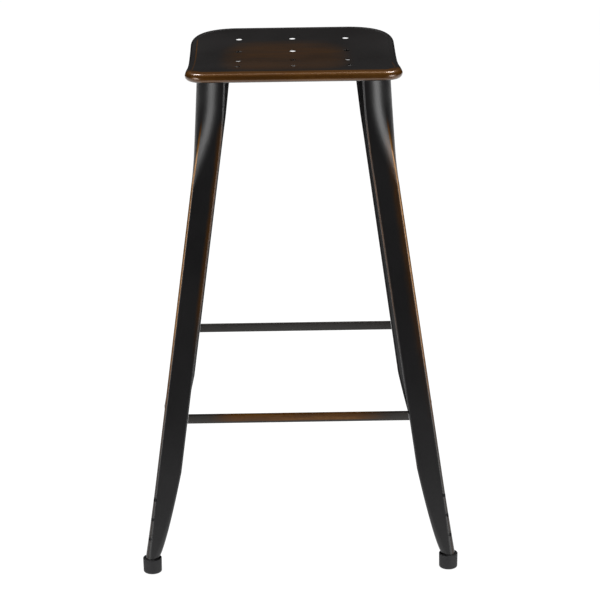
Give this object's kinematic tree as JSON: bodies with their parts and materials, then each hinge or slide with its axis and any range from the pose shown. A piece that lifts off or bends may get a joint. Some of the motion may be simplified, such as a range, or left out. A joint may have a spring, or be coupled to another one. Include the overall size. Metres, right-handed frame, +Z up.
{
  "type": "bar stool",
  "caption": "Backless stool in pressed sheet steel: square dished seat with a rolled edge and drain holes, splayed angle legs, footrest bars and rubber feet.",
  "frame": {"origin": "on the floor, under the middle of the seat", "axes": "+Z up, -Y to the front of the stool, +X to the right of a viewer in front of it"},
  "size_m": [0.4814, 0.474, 0.7617],
  "materials": {
    "brushed_black_steel": "satin black powder coat rubbed through to antique gold on ridges and rolled edges",
    "black_steel": "satin black powder coat",
    "black_plastic": "moulded, matt",
    "grey_rubber": "matt dark grey"
  },
  "bodies": {
    "root": {"seat_pan": "brushed_black_steel", "leg_front_left": "brushed_black_steel", "leg_front_right": "brushed_black_steel", "leg_rear_left": "brushed_black_steel", "leg_rear_right": "brushed_black_steel", "footrest_front": "brushed_black_steel", "footrest_rear": "brushed_black_steel", "footrest_left": "brushed_black_steel", "footrest_right": "brushed_black_steel", "brace_lower": "black_steel", "brace_upper": "black_steel", "brace_pads": "black_plastic", "foot_front_left": "grey_rubber", "foot_front_right": "grey_rubber", "foot_rear_left": "grey_rubber", "foot_rear_right": "grey_rubber"}
  },
  "joints": []
}
